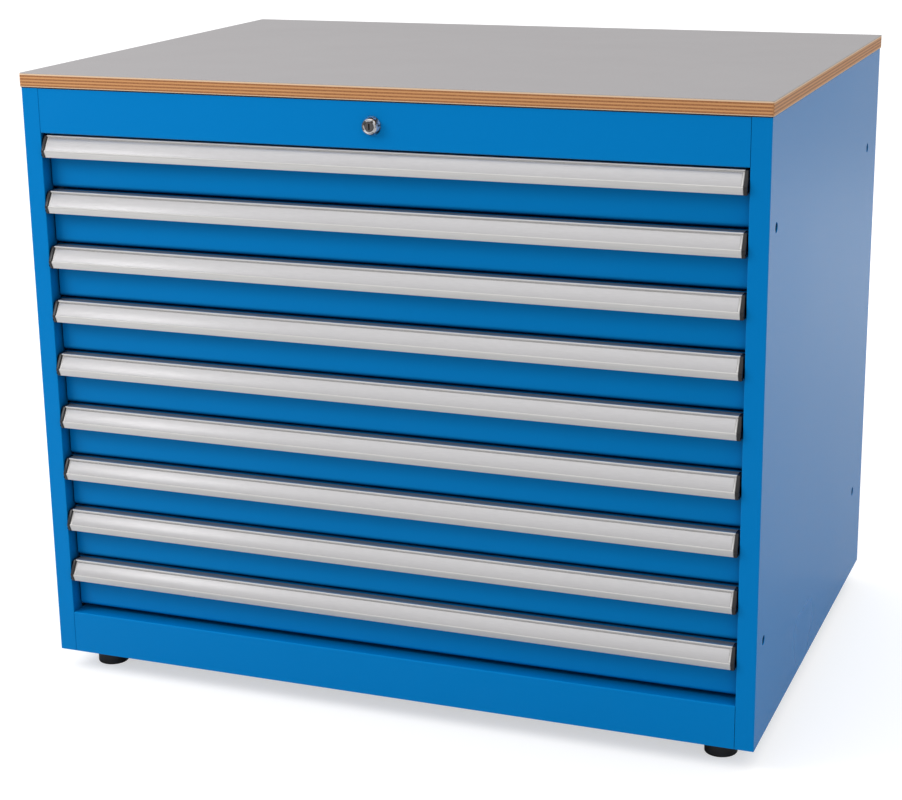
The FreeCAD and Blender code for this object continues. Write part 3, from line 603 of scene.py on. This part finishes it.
def buildProfile():
    # the profile and its label strip, made at the first drawer's height
    low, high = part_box("drawer_1_handle")
    left, front, back, top = low.x, low.y, high.y, high.z
    length, wall = high.x - low.x, handle["wall"]
    lipFront, lipUnder = front + handle["lipFront"], front + handle["lipDepth"]
    lipBottom = top - handle["lipDrop"]
    faceStart = Vector((left, front + handle["faceDepth"], top - handle["faceDrop"]))
    nose = Vector((left, front, top - handle["noseDrop"]))
    chin = Vector((left, front + handle["chinDepth"], low.z))
    along = (nose - faceStart).normalized()
    inward = Vector((0, -along.z, along.y))
    lowerLip = nose - along * handle["lowerLip"]
    groove = inward * handle["grooveDepth"]
    behindNose = nose + Vector((0, *handle["noseWall"])) * wall
    behindChin = chin + Vector((0, *handle["chinWall"])) * wall
    behindLip = lipUnder + handle["lipWall"] * wall
    clipBottom = top - handle["clipDrop"]
    profile = drawSection("handleProfile", [
        (left, back, top), (left, lipFront, top), (left, lipUnder, lipBottom),
        (left, front + handle["lipRoot"], top - handle["lipRootDrop"]), faceStart + groove,
        lowerLip + groove, lowerLip, nose, chin, behindChin, behindNose,
        (left, behindLip, top - handle["innerDrop"]), (left, behindLip, top - wall),
        (left, back - wall, top - wall), (left, back - wall, clipBottom), (left, back, clipBottom)])
    roundCorner(profile, lipFront, top, handle["lipRadius"])
    roundCorner(profile, nose.y, nose.z, handle["noseRadius"])
    roundCorner(profile, chin.y, chin.z, handle["chinRadius"])
    roundCorner(profile, lipUnder, lipBottom, handle["lipUnderRadius"])
    extrudeAll((length, 0, 0))

    surface = inward * (handle["grooveDepth"] - strip["thickness"]) + Vector((strip["endGap"], 0, 0))
    start = faceStart + along * strip["topGap"] + surface
    end = lowerLip - along * strip["lowerGap"] + surface
    thick = inward * (strip["thickness"] - strip["bed"])
    label = drawSection("labelStrip", [start, end, end + thick, start + thick])
    extrudeAll((length - 2 * strip["endGap"], 0, 0))
    pickEdges(label, lambda co: True)
    bpy.ops.mesh.bevel(offset=strip["bevel"], segments=2, affect="EDGES")
    return profile, label


# end caps; rounding is a step inward and a step outward for each inset
endCap = {
    "front": 0.0107, "topRadius": 0.0012, "noseDrop": 0.0205, "noseRadius": 0.002, "chinDepth": 0.0035,
    "chinRadius": 0.0014, "tailDepth": 0.005, "tailRadius": 0.001, "tailDrop": 0.0245,
    "rounding": ((0.0003, 0.0008), (0.0006, 0.0007), (0.0009, 0.0004)), "panelInset": 0.0016,
    "panelSlope": 0.0003,
}


def buildCaps():
    # both caps of the first drawer, the left one as the mirror image of the right one
    low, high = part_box("drawer_1_end_caps")
    inner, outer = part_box("drawer_1_handle")[1].x, high.x
    front, top, back, bottom = low.y, high.z, high.y, low.z
    corners = (
        (front + endCap["front"], top, endCap["topRadius"]),
        (front, top - endCap["noseDrop"], endCap["noseRadius"]),
        (front + endCap["chinDepth"], bottom, endCap["chinRadius"]),
        (back - endCap["tailDepth"], bottom, endCap["tailRadius"]))
    outline = [(back, top)] + [(y, z) for y, z, radius in corners] + [(back, top - endCap["tailDrop"])]
    caps = drawSection("endCap", [(inner, y, z) for y, z in outline])
    for y, z, radius in corners:
        roundCorner(caps, y, z, radius)
    extrudeAll((outer - inner - sum(outward for inward, outward in endCap["rounding"]), 0, 0))
    pickFaces(caps, lambda centre, normal: normal.x > 0.99)
    for inward, outward in endCap["rounding"]:
        bpy.ops.mesh.inset(thickness=inward, depth=outward)
    # a shallow sunk panel in the outer face, as moulded caps have
    pickFaces(caps, lambda centre, normal: normal.x > 0.99 and near(centre.x, outer))
    bpy.ops.mesh.inset(thickness=endCap["panelInset"], depth=0)
    bpy.ops.mesh.inset(thickness=endCap["panelSlope"], depth=-endCap["panelSlope"])
    bpy.ops.object.mode_set(mode="OBJECT")

    opposite = copyPiece(caps, "oppositeCap", Matrix.Scale(-1, 4, (1, 0, 0)))
    deselectAll()
    for half in (caps, opposite):
        half.select_set(True)
    bpy.context.view_layer.objects.active = caps
    bpy.ops.object.join()
    bpy.ops.object.mode_set(mode="EDIT")
    bpy.ops.mesh.select_all(action="SELECT")
    bpy.ops.mesh.normals_make_consistent(inside=False)
    bpy.ops.object.mode_set(mode="OBJECT")
    return caps


def buildHandles():
    profile, label = buildProfile()
    caps = buildCaps()
    for piece in (profile, label, caps):
        smoothByAngle(piece, handle["smoothAngle"])
    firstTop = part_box("drawer_1_handle")[1].z
    for number in range(1, drawerCount + 1):
        body = "drawer_%d" % number
        drop = Matrix.Translation((0, 0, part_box(body + "_handle")[1].z - firstTop))
        bar = copyPiece(profile, "handle_%d" % number, drop)
        placePiece(bar, "handle_aluminium", body)
        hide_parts(body + "_handle")
        paper = copyPiece(label, "label_strip_%d" % number, drop)
        placePiece(paper, "handle_aluminium", body, labelStripFinish)
        ends = copyPiece(caps, "end_caps_%d" % number, drop)
        placePiece(ends, "black_plastic", body)
        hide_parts(body + "_end_caps")
    for piece in (profile, label, caps):
        bpy.data.objects.remove(piece)


buildHandles()
print("handles made for", drawerCount, "drawers")


# lock bezel, turned about the lock's axis
lock = {
    "reach": 0.009, "bore": 0.0061, "boreBevel": 0.0004, "dish": 0.0078, "dishDepth": 0.0007,
    "dishWall": 0.0005, "dishEdge": 0.0001, "tipRadius": 0.0098, "tipBevel": 0.0007,
    "baseRadius": 0.0124, "baseBevel": 0.0003, "baseStep": 0.0013, "baseEdge": 0.0008,
    "barrelRadius": 0.0095, "steps": 72, "smoothAngle": 30,
}


def buildBezel():
    low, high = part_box("lock_housing")
    axisX, axisZ = (low.x + high.x) / 2, (low.z + high.z) / 2
    tip, end = low.y, high.y
    panel = tip + lock["reach"]
    floor = tip + lock["dishDepth"]
    bore, dish, tipRadius, baseRadius = lock["bore"], lock["dish"], lock["tipRadius"], lock["baseRadius"]
    # radius and depth, from the bore's far end round the outside to the barrel's end
    section = [
        (bore, end), (bore, floor + lock["boreBevel"]), (bore + lock["boreBevel"], floor),
        (dish, floor), (dish + lock["dishWall"], tip + lock["dishEdge"]),
        (tipRadius - lock["tipBevel"], tip), (tipRadius, tip + lock["tipBevel"]),
        (baseRadius - lock["baseBevel"], panel - lock["baseStep"]), (baseRadius, panel - lock["baseEdge"]),
        (baseRadius, panel), (lock["barrelRadius"], panel), (lock["barrelRadius"], end), (bore, end)]
    bezel = drawLine("lockBezel", [(axisX, depth, axisZ + radius) for radius, depth in section])
    bpy.ops.mesh.remove_doubles(threshold=1e-6)
    bpy.ops.mesh.select_all(action="SELECT")
    bpy.ops.mesh.spin(steps=lock["steps"], angle=2 * math.pi, center=(axisX, 0, axisZ), axis=(0, 1, 0))
    bpy.ops.mesh.select_all(action="SELECT")
    bpy.ops.mesh.remove_doubles(threshold=1e-6)
    bpy.ops.mesh.normals_make_consistent(inside=False)
    smoothByAngle(bezel, lock["smoothAngle"])
    placePiece(bezel, "lock_chrome", "cabinet")
    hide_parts("lock_housing")


buildBezel()
print("lock bezel made")


# painted shade: a black bead in the groove between the worktop and the cabinet's front stands in for the
# shadow line under the worktop
shadowBead = {"height": 0.0009, "setback": 0.0001, "depth": 0.0024, "endGap": 0.0012, "bevel": 0.0003,
        "play": 0.00002, "smoothAngle": 35}


def buildShadowBead():
    low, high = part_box("top_fascia")
    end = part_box("right_side_panel")[1].x - shadowBead["endGap"]
    front = low.y + shadowBead["setback"]
    back, top = front + shadowBead["depth"], high.z - shadowBead["play"]
    bottom = top - shadowBead["height"]
    bead = drawSection("worktopShadowBead", [(-end, front, bottom), (-end, front, top), (-end, back, top),
                                       (-end, back, bottom)])
    extrudeAll((2 * end, 0, 0))
    pickEdges(bead, lambda co: near(co.y, front) and near(co.z, bottom))
    bpy.ops.mesh.bevel(offset=shadowBead["bevel"], segments=3, affect="EDGES")
    smoothByAngle(bead, shadowBead["smoothAngle"])
    placePiece(bead, "black_plastic", "cabinet")


buildShadowBead()
print("worktop seal made")


# floor and sky
studio = {
    "floorSize": 60, "floorTone": 0.58, "floorGlow": 0.56, "floorRoughness": (0.6, 0.7),
    "horizon": 0.42, "zenith": 1.3, "backdrop": 1.05,
}
# softboxes: a wide key from the left, a small bright one that is mirrored in the metal, and one that
# lights the floor behind the right side
softboxes = {
    "keySoftbox": {"place": (-1.95, -1.6, 1.9), "aim": (0, 0, 0.3), "size": (1.3, 1.1), "power": 27,
                   "spread": 180, "mirrored": False},
    "sideSoftbox": {"place": (1.5, 3.1, 1.9), "aim": (1.1, 2.7, 0), "size": (2.0, 2.0), "power": 10,
                    "spread": 110, "mirrored": False},
    "keyGlint": {"place": (-1.95, -1.6, 1.5), "aim": (0, 0, 0.3), "size": (0.4, 0.6), "power": 1.8,
                 "spread": 180, "mirrored": True},
}
# turned to the left, tilted down and rolled by these degrees
view = {"place": (0.99852, -2.66985, 1.17481), "turn": 21.233, "tilt": 16.191, "roll": -0.795,
        "sensor": 36, "lens": 81.18}


def buildFloor():
    deselectAll()
    bpy.ops.mesh.primitive_plane_add(size=studio["floorSize"], location=(0, 0, 0))
    floor = bpy.context.object
    floor.name = "studioFloor"
    material, tree, shader = newMaterial("paleFloor")
    patches = noiseNode(tree, objectPoint(tree), 2.0)
    tree.links.new(noiseRange(tree, patches, *studio["floorRoughness"]), shader.inputs["Roughness"])
    tone = studio["floorTone"]
    shader.inputs["Base Color"].default_value = (tone, tone, tone, 1)
    shader.inputs["Specular IOR Level"].default_value = 0.0
    # the floor looks paler to the camera than the light that it throws back
    rays = tree.nodes.new("ShaderNodeLightPath")
    glow = mathNode(tree, "MULTIPLY", rays.outputs["Is Camera Ray"], studio["floorGlow"])
    shader.inputs["Emission Color"].default_value = (1, 1, 1, 1)
    tree.links.new(glow, shader.inputs["Emission Strength"])
    floor.data.materials.append(material)


def buildSky():
    # brighter overhead than at the horizon, with an even backdrop for the camera
    world = bpy.data.worlds.new("studioSky")
    bpy.context.scene.world = world
    world.use_nodes = True
    sky = world.node_tree
    background = sky.nodes["Background"]
    coordinates = sky.nodes.new("ShaderNodeTexCoord")
    height = splitPoint(sky, coordinates.outputs["Generated"])["Z"]
    dome = rangeNode(sky, height, 0.0, 1.0, studio["horizon"], studio["zenith"])
    rays = sky.nodes.new("ShaderNodeLightPath")
    seen = sky.nodes.new("ShaderNodeMix")
    for slot, value in ((0, rays.outputs["Is Camera Ray"]), (2, dome), (3, studio["backdrop"])):
        feed(sky, value, seen.inputs[slot])
    sky.links.new(seen.outputs[0], background.inputs["Strength"])
    background.inputs["Color"].default_value = (1, 1, 1, 1)


def buildSoftboxes():
    for name, values in softboxes.items():
        bpy.ops.object.light_add(type="AREA", location=values["place"])
        lamp = bpy.context.object
        lamp.name = name
        lamp.data.shape = "RECTANGLE"
        lamp.data.size, lamp.data.size_y = values["size"]
        lamp.data.energy = values["power"]
        lamp.data.spread = math.radians(values["spread"])
        direction = Vector(values["aim"]) - Vector(values["place"])
        lamp.rotation_euler = direction.to_track_quat("-Z", "Y").to_euler()
        lamp.visible_camera = False
        lamp.visible_glossy = values["mirrored"]


def buildCamera():
    bpy.ops.object.camera_add(location=view["place"])
    camera = bpy.context.object
    turn, tilt, roll = [
        Matrix.Rotation(math.radians(degrees), 3, axis)
        for degrees, axis in ((view["turn"], "Z"), (90 - view["tilt"], "X"), (view["roll"], "Z"))]
    camera.rotation_euler = (turn @ tilt @ roll).to_euler()
    camera.data.sensor_width = view["sensor"]
    camera.data.lens = view["lens"]
    bpy.context.scene.camera = camera


buildFloor()
buildSky()
buildSoftboxes()
buildCamera()
bpy.context.scene.view_settings.view_transform = "Standard"
print("studio ready")
